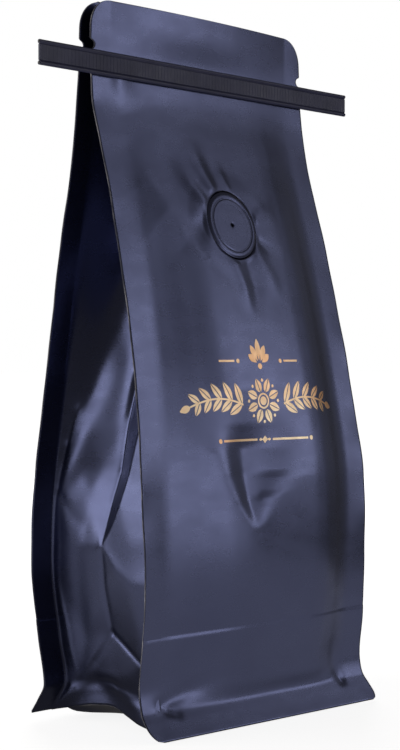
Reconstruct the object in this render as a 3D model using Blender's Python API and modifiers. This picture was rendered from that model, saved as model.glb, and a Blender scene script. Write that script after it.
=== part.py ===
"""A shut flat-bottom coffee bag of satin film, with side gussets, sealed corner fins, a tin tie and a valve.

The front faces -Y, the width runs along X and the bag stands on Z = 0, under its own origin.
It is one closed solid, film and contents together, laid up as a stack of rings. Each ring runs along
the front panel, round the right-hand gusset and its two fins, along the back panel and round the left.
The tin tie and the valve are solids of their own. Every dimension below is in millimetres.
"""
from math import cos, pi, sin, sqrt

import bmesh
import bpy
import numpy as np
from mathutils import Matrix, Vector
from mathutils.geometry import delaunay_2d_cdt

MM = 0.001

# Whole bag
HEIGHT = 239.2
FIN = 9.0                    # width of the sealed fin along each of the four upright corners
FIN_THICKNESS = 0.9
TWIST = 0.09                 # radians that the top is turned from the bottom, seen from above
TOP_SHIFT = -0.6             # how far the top leans sideways
BACK_LIFT = 2.0              # how far the back skirt's edge stands off the ground

# Half width over the fins, and the Y of the front and back fins, as (height, value)
HALF_WIDTH = [(0, 56.2), (5, 54.6), (11, 53.1), (50, 53.4), (84, 54.9), (114, 53.9), (182, 53.9), (209, 54.9),
              (239.2, 55.0)]
FRONT_Y = [(0, -29.6), (5, -26.4), (9, -24.2), (16, -23.1), (32, -24.6), (54, -25.5), (80, -24.3), (112, -19.7),
           (142, -13.8), (172, -6.6), (192, -1.4), (208, 1.9), (224, 2.8), (239.2, 2.8)]
BACK_Y = [(0, 29.1), (5, 26.9), (10, 25.4), (27, 28.5), (50, 31.9), (86, 28.0), (122, 23.2), (162, 16.9),
          (192, 11.4), (208, 9.0), (239.2, 7.8)]
# How far the middle of the front and back panels swells past their fins
SWELL = [(0, 0.0), (7, 0.2), (15, 2.2), (33, 3.4), (62, 4.8), (107, 5.0), (162, 3.6), (197, 1.4), (211, 0.3),
         (239.2, 0.0)]
CREASE_HEIGHT = 32.5         # fold across the front and back, where the base was once folded up
CREASE_DEPTH = 0.7
CREASE_HALF = 1.5
# How far the side's lower edge stands off the ground, as (share of the way from front to back, lift)
SIDE_LIFT = [(0, 0.0), (0.15, 1.0), (0.30, 1.5), (0.42, 3.0), (0.57, 4.8), (0.72, 3.8), (0.86, 2.0), (1, 0.0)]

# Outline of the panels' corners
TOP_CORNER = 9.5             # radius of the upper corners
NOTCH_HEIGHT = 224.0         # tear notches, above the tin tie
NOTCH_HALF = 1.7
NOTCH_DEPTH = 2.0
# Lower corners, as (reach across, reach up) of a quarter ellipse
FOOT_CORNERS = {"front_left": (8.2, 11.5), "front_right": (3.0, 3.5), "back_right": (2.0, 2.0),
                "back_left": (0.6, 0.6)}

# Side gusset: fold points as (name, share of the way from front seam to back seam, height, depth inwards)
GUSSET_FOLDS = [
    ("mouth", 0.50, 239.2, 30.2), ("neck", 0.50, 207, 30.0), ("upper", 0.50, 177, 27.8),
    ("shoulder", 0.50, 147, 22.8), ("waist", 0.50, 110, 12.4), ("belly", 0.50, 84, 5.2), ("dent", 0.50, 59, -2.4),
    ("below_dent", 0.50, 47, -1.8), ("apex", 0.50, 30.5, 1.2), ("toe", 0.47, 12, -3.2), ("toe_back", 0.80, 12, -1.8),
    ("rim", 0.55, 0, 0.6), ("front_hip", 0.24, 64, -2.6), ("front_facet", 0.30, 110, 7.0),
    ("flap_front", 0.20, 21.5, 0.6), ("flap_back", 0.90, 8.5, 1.5), ("back_hip", 0.76, 60, -3.4),
    ("back_heel", 0.90, 24, 2.6), ("ridge_low", 0.985, 76, -0.3), ("ridge_mid", 0.87, 100, 3.4),
    ("ridge_high", 0.74, 132, 10.8), ("ridge_top", 0.70, 162, 15.5), ("trough", 0.72, 94, 6.0),
    ("trough_low", 0.80, 78, 1.2),
]
GUSSET_EDGES = [
    ("mouth", "neck"), ("neck", "upper"), ("upper", "shoulder"), ("shoulder", "waist"), ("waist", "belly"),
    ("belly", "dent"), ("dent", "below_dent"), ("below_dent", "apex"), ("apex", "flap_front"), ("apex", "flap_back"),
    ("ridge_low", "ridge_mid"), ("ridge_mid", "ridge_high"), ("ridge_high", "ridge_top"),
    ("front_facet", "dent"), ("trough", "trough_low"),
]

# Base panel, between the skirts: it sags from their roots to a flat that the bag stands on
BASE_HALF_DEPTH = 28.0
BASE_ROOT_HEIGHT = 4.5
BASE_SHOULDER_HEIGHT = 0.8
BASE_ROOT_WIDTH = 0.95       # shares of the base panel's reach, from its middle
BASE_ROOT = 0.87
BASE_SHOULDER = 0.82
BASE_FLAT = 0.66

# Tin tie, glued across the front under the mouth
TIE_LENGTH = 160.0
TIE_WIDTH = 8.1
TIE_HEIGHT = 218.0           # of its middle line
TIE_SHIFT = 1.0              # how far it sits to the right of the bag's middle
TIE_BAND_THICKNESS = 0.7
TIE_BEAD_RADIUS = 0.7
TIE_WIRE_RADIUS = 0.35
TIE_WIRE_PROUD = 0.5
GAP = 0.3                    # clearance between the bag and what is fixed to it

# One-way valve, under the film of the front panel
VALVE_X = 0.0
VALVE_HEIGHT = 167.5
VALVE_RADIUS = 11.7
VALVE_SEAT_DEPTH = 0.9
VALVE_PROUD = 1.0

# How the rings are laid: heights, closer at folds and corners, and points across each panel
RING_HEIGHTS = [0, 1.2, 3, 5.5, 8, 10.5, 14, 18, 22, 27, 31, 32.5, 34, 40, 47, 53, 59, 67, 76, 84, 92, 100,
                110, 121, 132, 147, 162, 177, 192, 202, 210, 216, 222.3, 223.2, 224, 224.8, 225.7, 230, 233,
                235.5, 237.5, 238.7, 239.2]
PANEL_POINTS = 15
GUSSET_SHARES = [0.08, 0.17, 0.27, 0.38, 0.5, 0.62, 0.73, 0.83, 0.92]

FILM_COLOUR = (0.035, 0.037, 0.068, 1.0)
TIE_COLOUR = (0.016, 0.017, 0.026, 1.0)


def smooth_curve(points, at):
    """Read a smooth curve through (height, value) points, with no overshoot between them."""
    heights, values = np.array(points, float).T
    steps = np.diff(heights)
    slopes = np.diff(values) / steps
    tangents = np.zeros(len(values))
    tangents[0] = slopes[0]
    tangents[-1] = slopes[-1]
    for i in range(1, len(values) - 1):
        if slopes[i - 1] * slopes[i] > 0:
            before = 2 * steps[i] + steps[i - 1]
            after = steps[i] + 2 * steps[i - 1]
            tangents[i] = (before + after) / (before / slopes[i - 1] + after / slopes[i])
    i = int(np.clip(np.searchsorted(heights, at, side="right") - 1, 0, len(steps) - 1))
    t = min(max((at - heights[i]) / steps[i], 0.0), 1.0)
    return ((2 * t**3 - 3 * t**2 + 1) * values[i] + (t**3 - 2 * t**2 + t) * steps[i] * tangents[i]
            + (3 * t**2 - 2 * t**3) * values[i + 1] + (t**3 - t**2) * steps[i] * tangents[i + 1])


def ease(t):
    t = min(max(t, 0.0), 1.0)
    return t * t * (3 - 2 * t)


def turned(x, y, z):
    """Carry a point of the straight bag to its place on the twisted one, in metres."""
    share = ease(z / HEIGHT)
    angle = TWIST * share
    return Vector((x * cos(angle) - y * sin(angle) + TOP_SHIFT * share, x * sin(angle) + y * cos(angle), z)) * MM


def round_off(height, end, across, up):
    """How far a rounded corner draws the outline in, at a height near the end of the panel."""
    into_corner = 1 - abs(end - height) / up
    if into_corner <= 0:
        return 0.0
    return across * (1 - sqrt(max(1 - into_corner**2, 0.0)))


def fin_tip(height, corner):
    """Half width out to one fin's edge, with its rounded corners and tear notch."""
    tip = smooth_curve(HALF_WIDTH, height)
    tip -= round_off(height, HEIGHT, TOP_CORNER, TOP_CORNER)
    tip -= round_off(height, 0.0, *FOOT_CORNERS[corner])
    from_notch = abs(height - NOTCH_HEIGHT)
    if from_notch < NOTCH_HALF:
        tip -= NOTCH_DEPTH * sqrt(1 - (from_notch / NOTCH_HALF) ** 2)
    return tip


def seam_x(height):
    """Half width out to the seams, where the fins start."""
    inside_corner = smooth_curve(HALF_WIDTH, height) - round_off(height, HEIGHT, TOP_CORNER, TOP_CORNER) - 0.8
    return min(smooth_curve(HALF_WIDTH, height) - FIN, inside_corner)


def swell(share, height):
    """How far a panel stands out past its fins, at a share of the way from its middle to a seam."""
    profile = (1 - share**2) ** 0.8
    crease = CREASE_DEPTH * max(0.0, 1 - abs(height - CREASE_HEIGHT) / CREASE_HALF)
    return smooth_curve(SWELL, height) * profile - crease


def gusset_surface():
    """Join the gusset's fold points with triangles, its folds being edges of them."""
    points = [(share, height, depth) for _, share, height, depth in GUSSET_FOLDS]
    names = [name for name, *_ in GUSSET_FOLDS]
    for height in (0, 22, 52, 76, 100, 132, 162, 192, HEIGHT):
        points.append((0.0, height, 0.0))
        points.append((1.0, height, 0.0))
    flat = [Vector((share, height / 100)) for share, height, _ in points]
    edges = [(names.index(a), names.index(b)) for a, b in GUSSET_EDGES]
    vertices, _, faces, origins, _, _ = delaunay_2d_cdt(flat, edges, [], 0, 1e-6)
    depths = [points[origin[0]][2] for origin in origins]
    return [[(vertices[i].x, vertices[i].y * 100, depths[i]) for i in face] for face in faces]


GUSSET_TRIANGLES = gusset_surface()


def gusset_depth(share, height):
    """How far the gusset lies inside the line from seam to seam."""
    for (s0, h0, d0), (s1, h1, d1), (s2, h2, d2) in GUSSET_TRIANGLES:
        area = (s1 - s0) * (h2 - h0) - (s2 - s0) * (h1 - h0)
        if abs(area) < 1e-9:
            continue
        b = ((share - s0) * (h2 - h0) - (s2 - s0) * (height - h0)) / area
        c = ((s1 - s0) * (height - h0) - (share - s0) * (h1 - h0)) / area
        if b >= -1e-6 and c >= -1e-6 and b + c <= 1 + 1e-6:
            return d0 + b * (d1 - d0) + c * (d2 - d0)
    return 0.0


def side_rise(share, height):
    """How far the side is lifted off the ground: most at its lower edge, nothing from 25 mm up."""
    lift = smooth_curve(SIDE_LIFT, share) + BACK_LIFT * share
    return lift * (1 - ease(height / 25.0))


def ring_at(height):
    """One ring, as (x, y, z) of the straight bag, going round it from the front's left edge."""
    seam = seam_x(height)
    front = smooth_curve(FRONT_Y, height)
    back = smooth_curve(BACK_Y, height)
    inner_front = front + FIN_THICKNESS
    inner_back = back - FIN_THICKNESS
    shares = np.linspace(-1.0, 1.0, PANEL_POINTS)
    raised = height + side_rise(1.0, height)

    def gusset(side):
        ring = []
        for share in GUSSET_SHARES:
            y = inner_front + (inner_back - inner_front) * share
            x = seam - gusset_depth(share, height)
            ring.append((side * x, y, height + side_rise(share, height)))
        return ring

    def edge(side, corner, y, z):
        return [(side * fin_tip(height, corner), y, z)]

    ring = edge(-1, "front_left", front, height)
    ring += [(share * seam, front - swell(share, height), height) for share in shares]
    ring += edge(1, "front_right", front, height) + edge(1, "front_right", inner_front, height)
    ring += [(seam, inner_front, height)] + gusset(1) + [(seam, inner_back, raised)]
    ring += edge(1, "back_right", inner_back, raised) + edge(1, "back_right", back, raised)
    ring += [(-share * seam, back + swell(share, height), raised) for share in shares]
    ring += edge(-1, "back_left", back, raised) + edge(-1, "back_left", inner_back, raised)
    ring += [(-seam, inner_back, raised)] + gusset(-1)[::-1] + [(-seam, inner_front, height)]
    ring += edge(-1, "front_left", inner_front, height)
    return ring


def film_material(name, colour, roughness, metallic=0.0):
    material = bpy.data.materials.new(name)
    material.use_nodes = True
    shader = material.node_tree.nodes["Principled BSDF"]
    shader.inputs["Base Color"].default_value = colour
    shader.inputs["Roughness"].default_value = roughness
    shader.inputs["Metallic"].default_value = metallic
    return material


def new_object(name, mesh, material, collection):
    obj = bpy.data.objects.new(name, mesh)
    mesh.materials.append(material)
    collection.objects.link(obj)
    return obj


def cap(bm, ring, facing):
    """Close a level ring with triangles that face up (1) or down (-1)."""
    edges = [bm.edges.get((a, b)) for a, b in zip(ring, ring[1:] + ring[:1])]
    filled = bmesh.ops.triangle_fill(bm, edges=edges, use_beauty=True, normal=(0, 0, facing))
    faces = [item for item in filled["geom"] if isinstance(item, bmesh.types.BMFace)]
    for face in faces:
        face.normal_update()
        if face.normal.z * facing < 0:
            face.normal_flip()


def close_foot(bm, feet, lowest):
    """Close the skirts' rims and the fins' feet. Returns the loop left open, round the base panel."""
    count = len(feet)
    loop = []
    for start, inward in ((0, 1), (count // 2, -1)):
        # Places in the ring: the panel's seams, the far fin's edge, and the gusset after it
        first_seam = start + 1
        last_seam = start + PANEL_POINTS
        far_edge = last_seam + 1
        gusset_first = last_seam + 3
        gusset_last = gusset_first + len(GUSSET_SHARES) + 1
        near_edge_inside = (start - 1) % count
        near_seam_inside = (start - 2) % count

        inner = [(feet[near_seam_inside], lowest[near_seam_inside])]
        for x, y, z in lowest[first_seam + 1:last_seam]:
            point = (x, y + inward * FIN_THICKNESS, z)
            inner.append((bm.verts.new(turned(*point)), point))
        inner.append((feet[gusset_first], lowest[gusset_first]))
        for step in range(PANEL_POINTS - 1):
            here = first_seam + step
            bm.faces.new((feet[here + 1], feet[here], inner[step][0], inner[step + 1][0]))
        bm.faces.new((feet[far_edge], feet[last_seam], feet[gusset_first], feet[far_edge + 1]))
        bm.faces.new((feet[first_seam], feet[start], feet[near_edge_inside], feet[near_seam_inside]))

        loop += inner[:-1]
        loop += [(feet[i], lowest[i]) for i in range(gusset_first, gusset_last)]
    return loop


def close_base(bm, loop):
    """The base panel: up behind the skirts, level along the sides, then down to a flat on the ground."""
    def behind_skirt(point):
        x, y, z = point
        at_skirt = min(1.0, (abs(y) / BASE_HALF_DEPTH) ** 6)
        return (x * BASE_ROOT_WIDTH, y * BASE_ROOT, z * 0.6 + BASE_ROOT_HEIGHT * at_skirt)

    def towards_middle(reach, height):
        return [(x * reach, y * reach, height) for _, (x, y, z) in loop]

    previous = [vertex for vertex, _ in loop]
    rings = [[behind_skirt(point) for _, point in loop],
             towards_middle(BASE_SHOULDER, BASE_SHOULDER_HEIGHT),
             towards_middle(BASE_FLAT, 0.0)]
    for ring in rings:
        current = [bm.verts.new(turned(*point)) for point in ring]
        for i in range(len(loop)):
            j = (i + 1) % len(loop)
            bm.faces.new((previous[j], previous[i], current[i], current[j]))
        previous = current
    cap(bm, previous, -1)


def make_bag(material, collection):
    """Loft the rings, then close the foot, the base panel and the mouth."""
    bm = bmesh.new()
    rings = []
    for height in RING_HEIGHTS:
        rings.append([bm.verts.new(turned(*point)) for point in ring_at(height)])
    count = len(rings[0])
    for lower, upper in zip(rings, rings[1:]):
        for i in range(count):
            j = (i + 1) % count
            bm.faces.new((lower[i], lower[j], upper[j], upper[i]))
    loop = close_foot(bm, rings[0], ring_at(0))
    close_base(bm, loop)
    cap(bm, rings[-1], 1)

    mesh = bpy.data.meshes.new("bag")
    bm.to_mesh(mesh)
    bm.free()
    mesh.shade_smooth()
    mesh.set_sharp_from_angle(angle=0.6)
    return new_object("bag", mesh, material, collection)


def tie_frame():
    """Where the tin tie lies: along the front panel, turned with the bag at its height."""
    front = smooth_curve(FRONT_Y, TIE_HEIGHT)
    stand_off = GAP + TIE_BEAD_RADIUS + 0.2
    angle = TWIST * ease(TIE_HEIGHT / HEIGHT)
    return Matrix.Translation(turned(TIE_SHIFT, front - stand_off, TIE_HEIGHT)) @ Matrix.Rotation(angle, 4, "Z")


def rod(name, radius, length, sides, height, collection):
    """A round bar along X, at a height above the tie's middle line."""
    bm = bmesh.new()
    bmesh.ops.create_cone(bm, cap_ends=True, segments=sides, radius1=radius * MM, radius2=radius * MM,
                          depth=length * MM)
    bmesh.ops.rotate(bm, verts=bm.verts, matrix=Matrix.Rotation(pi / 2, 3, "Y"))
    bmesh.ops.translate(bm, verts=bm.verts, vec=(0, 0, height * MM))
    mesh = bpy.data.meshes.new(name)
    bm.to_mesh(mesh)
    bm.free()
    obj = bpy.data.objects.new(name, mesh)
    obj.hide_render = True
    obj.display_type = "WIRE"
    collection.objects.link(obj)
    return obj


def make_tin_tie(material, collection, cutters):
    """A flat band with a bead along each edge and the ends of the two wires standing out of them."""
    bm = bmesh.new()
    bmesh.ops.create_cube(bm, size=1.0)
    band = (TIE_LENGTH * MM, TIE_BAND_THICKNESS * MM, (TIE_WIDTH - 2 * TIE_BEAD_RADIUS) * MM)
    bmesh.ops.scale(bm, verts=bm.verts, vec=band)
    mesh = bpy.data.meshes.new("tin_tie")
    bm.to_mesh(mesh)
    bm.free()
    tie = new_object("tin_tie", mesh, material, collection)

    additions = bpy.data.collections.new("tin_tie_beads")
    cutters.children.link(additions)
    bead_height = TIE_WIDTH / 2 - TIE_BEAD_RADIUS
    for side, name in ((1, "upper"), (-1, "lower")):
        bead = rod(name + "_bead", TIE_BEAD_RADIUS, TIE_LENGTH, 12, side * bead_height, additions)
        wire_length = TIE_LENGTH + 2 * TIE_WIRE_PROUD
        wire = rod(name + "_wire", TIE_WIRE_RADIUS, wire_length, 8, side * bead_height, additions)
        bead.matrix_world = tie_frame()
        wire.matrix_world = tie_frame()
    tie.matrix_world = tie_frame()
    join = tie.modifiers.new("Beads", "BOOLEAN")
    join.operation = "UNION"
    join.operand_type = "COLLECTION"
    join.collection = additions
    tie.data.shade_smooth()
    tie.data.set_sharp_from_angle(angle=0.6)
    return tie


def valve_frame():
    """The valve's middle, on the swollen front panel, with its axis Z pointing out of the panel."""
    here = turned(VALVE_X, front_surface(VALVE_X, VALVE_HEIGHT), VALVE_HEIGHT)
    across = turned(VALVE_X + 5, front_surface(VALVE_X + 5, VALVE_HEIGHT), VALVE_HEIGHT)
    across -= turned(VALVE_X - 5, front_surface(VALVE_X - 5, VALVE_HEIGHT), VALVE_HEIGHT)
    up = turned(VALVE_X, front_surface(VALVE_X, VALVE_HEIGHT + 5), VALVE_HEIGHT + 5)
    up -= turned(VALVE_X, front_surface(VALVE_X, VALVE_HEIGHT - 5), VALVE_HEIGHT - 5)
    outward = across.cross(up).normalized()
    right = across.normalized()
    upward = outward.cross(right)
    frame = Matrix((right, upward, outward)).transposed().to_4x4()
    return Matrix.Translation(here) @ frame


def front_surface(x, height):
    """Y of the front panel's outer face."""
    return smooth_curve(FRONT_Y, height) - swell(x / seam_x(height), height)


def turned_profile(name, profile, steps, material, collection):
    """Turn a profile of (radius, height) points, top to bottom, round the Z axis."""
    mesh = bpy.data.meshes.new(name)
    points = [(radius * MM, 0.0, height * MM) for radius, height in profile]
    mesh.from_pydata(points, [(i, i + 1) for i in range(len(points) - 1)], [])
    obj = new_object(name, mesh, material, collection)
    screw = obj.modifiers.new("Turn", "SCREW")
    screw.steps = steps
    screw.render_steps = steps
    screw.use_merge_vertices = True
    screw.merge_threshold = 0.00001
    screw.use_smooth_shade = True
    return obj


def make_valve(material, collection):
    """A low button: a bevelled flange, a step up to the plate, and a small dimple for the vent."""
    profile = [(0.0, VALVE_PROUD - 0.5), (0.5, VALVE_PROUD - 0.1), (0.9, VALVE_PROUD - 0.05), (8.6, VALVE_PROUD),
               (9.3, VALVE_PROUD - 0.15), (9.7, VALVE_PROUD - 0.45), (11.1, VALVE_PROUD - 0.5),
               (VALVE_RADIUS, VALVE_PROUD - 0.8), (VALVE_RADIUS, GAP - VALVE_SEAT_DEPTH),
               (0.0, GAP - VALVE_SEAT_DEPTH)]
    valve = turned_profile("valve", profile, 40, material, collection)
    valve.matrix_world = valve_frame()
    return valve


def cut_valve_seat(bag, material, cutters):
    """Sink a round seat for the valve into the front panel."""
    radius = VALVE_RADIUS + GAP
    profile = [(0.0, 6.0), (radius, 6.0), (radius, -VALVE_SEAT_DEPTH), (0.0, -VALVE_SEAT_DEPTH)]
    seat = turned_profile("valve_seat", profile, 40, material, cutters)
    seat.hide_render = True
    seat.display_type = "WIRE"
    seat.matrix_world = valve_frame()
    cut = bag.modifiers.new("Valve seat", "BOOLEAN")
    cut.operation = "DIFFERENCE"
    cut.object = seat


def main():
    for obj in list(bpy.data.objects):
        bpy.data.objects.remove(obj, do_unlink=True)
    collection = bpy.data.collections.new("coffee_bag")
    cutters = bpy.data.collections.new("cutters")
    bpy.context.scene.collection.children.link(collection)
    bpy.context.scene.collection.children.link(cutters)
    film = film_material("film", FILM_COLOUR, 0.42)
    tie_plastic = film_material("tie_plastic", TIE_COLOUR, 0.38)
    bag = make_bag(film, collection)
    cut_valve_seat(bag, film, cutters)
    make_valve(film, collection)
    make_tin_tie(tie_plastic, collection, cutters)


main()
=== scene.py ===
"""Looks of the shut flat-bottom coffee bag: real sheets of satin film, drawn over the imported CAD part.

Two panels, two side gussets and a base are sheets of their own, bonded at the fins and skirts as on the
real bag. They repeat the CAD bag's driving dimensions, and add its creases, dents and cut edges. The front
panel, the valve's film and the ribbed tin tie replace the CAD nodes, and a foil ornament lies on the front.

The front faces -Y and the bag stands on Z = 0. Dimensions are in millimetres: (x, height) is a place on
the front or back panel, and (share, height) one on a gusset, with share 0 at its front seam and 1 at its
back seam.
"""
from math import cos, pi, radians, sin

import bmesh
import bpy
import numpy as np
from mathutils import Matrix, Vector
from mathutils.geometry import delaunay_2d_cdt


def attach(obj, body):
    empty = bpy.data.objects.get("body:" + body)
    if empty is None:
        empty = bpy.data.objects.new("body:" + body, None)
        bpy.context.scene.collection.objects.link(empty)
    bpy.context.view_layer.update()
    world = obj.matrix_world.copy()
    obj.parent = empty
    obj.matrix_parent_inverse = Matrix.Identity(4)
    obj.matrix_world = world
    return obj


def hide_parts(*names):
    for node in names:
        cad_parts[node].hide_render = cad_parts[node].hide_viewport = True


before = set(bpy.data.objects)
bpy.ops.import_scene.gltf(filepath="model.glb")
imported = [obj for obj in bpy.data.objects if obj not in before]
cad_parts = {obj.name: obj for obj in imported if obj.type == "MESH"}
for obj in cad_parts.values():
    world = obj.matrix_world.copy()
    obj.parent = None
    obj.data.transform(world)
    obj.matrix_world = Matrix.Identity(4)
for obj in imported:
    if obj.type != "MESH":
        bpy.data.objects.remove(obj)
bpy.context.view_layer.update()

MM = 0.001

# ---------------- the CAD bag's driving dimensions
HEIGHT = 239.2
FIN = 9.0                    # width of the sealed fin along each of the four upright corners
SEAM_TO_CORNER = 0.8         # how far a seam stays inside the rounded upper corners
TWIST = 0.09                 # radians that the top is turned from the bottom, seen from above
TOP_SHIFT = -0.6             # how far the top leans sideways
BACK_LIFT = 2.0              # how far the back skirt's edge stands off the ground
# Up the bag, as (height, value): half width over the fins, the two panels at their fins, and their swelling
HALF_WIDTH = [(0, 56.2), (5, 54.6), (11, 53.1), (50, 53.4), (84, 54.9), (114, 53.9), (182, 53.9),
              (209, 54.9), (239.2, 55.0)]
FRONT_Y = [(0, -29.6), (5, -26.4), (9, -24.2), (16, -23.1), (32, -24.6), (54, -25.5), (80, -24.3),
           (112, -19.7), (142, -13.8), (172, -6.6), (192, -1.4), (208, 1.9), (224, 2.8), (239.2, 2.8)]
BACK_Y = [(0, 29.1), (5, 26.9), (10, 25.4), (27, 28.5), (50, 31.9), (86, 28.0), (122, 23.2), (162, 16.9),
          (192, 11.4), (208, 9.0), (239.2, 7.8)]
SWELL = [(0, 0.0), (7, 0.2), (15, 2.2), (33, 3.4), (62, 4.8), (107, 5.0), (162, 3.6), (197, 1.4),
         (211, 0.3), (239.2, 0.0)]
# How far a side's lower rim is lifted, from its front seam (0) to its back seam (1)
SIDE_LIFT = [(0, 0.0), (0.15, 1.0), (0.30, 1.5), (0.42, 3.0), (0.57, 4.8), (0.72, 3.8), (0.86, 2.0),
             (1, 0.0)]
LIFT_FADE = 25.0             # height over which that lift fades
TOP_CORNER = 9.5             # radius of the upper corners
NOTCH_HEIGHT = 224.0         # tear notches, above the tin tie
NOTCH_HALF = 1.7
NOTCH_DEPTH = 2.0
# Rounding of the fins' lower corners, across and up
FOOT_CORNERS = {"front_left": (8.2, 11.5), "front_right": (3.0, 3.5), "back_right": (2.0, 2.0),
                "back_left": (0.6, 0.6)}
# Points of a gusset's folds: (share, height) and how far in from the seams the film lies there
GUSSET_FOLDS = {
    # the middle fold, from the mouth down to the dent and the flap's apex
    "mouth": (0.50, HEIGHT, 30.2), "neck": (0.50, 207, 30.0), "upper": (0.50, 177, 27.0),
    "shoulder": (0.44, 150, 17.0), "chest": (0.38, 132, 14.0), "waist": (0.455, 116, 11.7),
    "belly_high": (0.49, 100, 8.8), "belly": (0.525, 84, 7.9), "belly_low": (0.545, 72, 4.4),
    "dent": (0.555, 59, 0.2), "below_dent": (0.54, 45, 0.6), "apex": (0.50, 30.5, 1.7),
    # the front half: a steep wall beside the fold, and a flat facet beside the fin
    "facet_top": (0.30, 116, 4.2), "facet_high": (0.27, 100, 3.9), "facet": (0.36, 84, 3.3),
    "facet_low": (0.41, 74, 1.6), "facet_end": (0.485, 65, 0.8), "lip_top": (0.09, 100, 2.2),
    "lip_high": (0.11, 84, 3.0), "lip_mid": (0.11, 74, 2.0), "lip_low": (0.11, 62, 0.2),
    "lip_end": (0.11, 48, -1.5), "cheek": (0.30, 62, 0.0), "jaw": (0.27, 47.5, -1.4),
    "jaw_back": (0.42, 51.5, -0.8),
    # the back half: the steep edge, the flat band beside it and the trough
    "edge_top": (0.76, 150, 14.0), "band_shoulder": (0.62, 150, 15.3), "edge_high": (0.80, 132, 11.0),
    "edge": (0.865, 116, 7.2), "edge_mid": (0.955, 100, 3.0), "edge_low": (0.972, 84, 1.3),
    "edge_end": (0.985, 75, 0.4), "band_top": (0.64, 132, 12.9), "band_high": (0.70, 116, 7.8),
    "band": (0.79, 100, 4.2), "band_low": (0.905, 84, 1.5), "band_end": (0.95, 75, 0.5),
    "trough_edge": (0.80, 84, 3.5), "trough_high": (0.53, 100, 8.5), "trough": (0.67, 84, 6.0),
    "trough_low": (0.72, 73, 3.1), "back_hip": (0.78, 58, 0.9), "back_heel": (0.78, 27, 2.1),
    # the foot: the flap's two edges, the toe and the rim
    "flap_front": (0.17, 21.5, 0.1), "flap_back": (0.90, 8.5, 1.4), "flap_mid": (0.48, 18, 1.5),
    "toe": (0.47, 12.5, 1.3), "toe_back": (0.74, 12.5, 2.2), "rim": (0.55, 0, 5.9),
    "rim_front": (0.2, 0, 3.4), "rim_back": (0.86, 0, 4.4),
}
# The folds run through those points in chains
GUSSET_CHAINS = [
    ("mouth", "neck", "upper", "shoulder", "chest", "waist", "belly_high", "belly", "belly_low", "dent",
     "below_dent", "apex", "flap_front"),
    ("apex", "flap_back"),
    ("facet_top", "facet_high", "facet", "facet_low", "facet_end", "dent", "jaw_back", "jaw", "lip_end"),
    ("lip_top", "lip_high", "lip_mid", "lip_low", "lip_end"),
    ("edge_top", "edge_high", "edge", "edge_mid", "edge_low", "edge_end"),
    ("band_top", "band_high", "band", "band_low", "band_end"),
    ("trough_high", "trough", "trough_low"),
    ("toe", "toe_back"),
]
SEAM_HEIGHTS = (0, 22, 52, 76, 100, 132, 162, 192, HEIGHT)   # where the folded facets meet the two seams
BASE_HALF_DEPTH = 28.0
BASE_ROOT_HEIGHT = 4.5       # of the bond between the base panel and the skirts
TIE_LENGTH = 160.0
TIE_WIDTH = 8.1
TIE_HEIGHT = 218.0           # of its middle line
TIE_SHIFT = 1.0              # how far it sits to the right of the bag's middle
TIE_BAND_THICKNESS = 0.7
TIE_BEAD_RADIUS = 0.7
TIE_WIRE_RADIUS = 0.35
TIE_WIRE_PROUD = 0.5
GAP = 0.3                    # clearance between the bag and the tie
TIE_STAND = GAP + TIE_BEAD_RADIUS + 0.2      # from the panel out to the tie's middle plane
VALVE_X = 0.0
VALVE_HEIGHT = 167.5
VALVE_RADIUS = 11.7

# ---------------- what the film adds
FILM = 0.2                   # thickness of one layer
# How the swelling is spread from a panel's left seam (-1) to its right (1): a plateau between two flanks
FRONT_CROWN = [(-1, 0.0), (-0.95, 0.02), (-0.85, 0.13), (-0.6, 0.48), (-0.35, 0.80), (-0.18, 0.90),
               (0.05, 0.94), (0.3, 0.985), (0.48, 1.0), (0.62, 0.92), (0.76, 0.60), (0.9, 0.16),
               (0.96, 0.03), (1, 0.0)]
BACK_CROWN = [(-1, 0.0), (-0.94, 0.05), (-0.75, 0.45), (-0.45, 0.86), (-0.1, 1.0), (0.2, 0.98),
              (0.5, 0.80), (0.8, 0.30), (0.95, 0.04), (1, 0.0)]
FRONT_LIP = -1.8             # how far the mouth's front lip comes in at its middle: it bows out a little
BACK_LIP = 3.8               # and the back lip, which follows it
LIP_FROM = 218.0
LIP_TO = 236.0
SEAM_FILLET = 1.1            # radius of the gusset's turn into its fins

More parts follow.
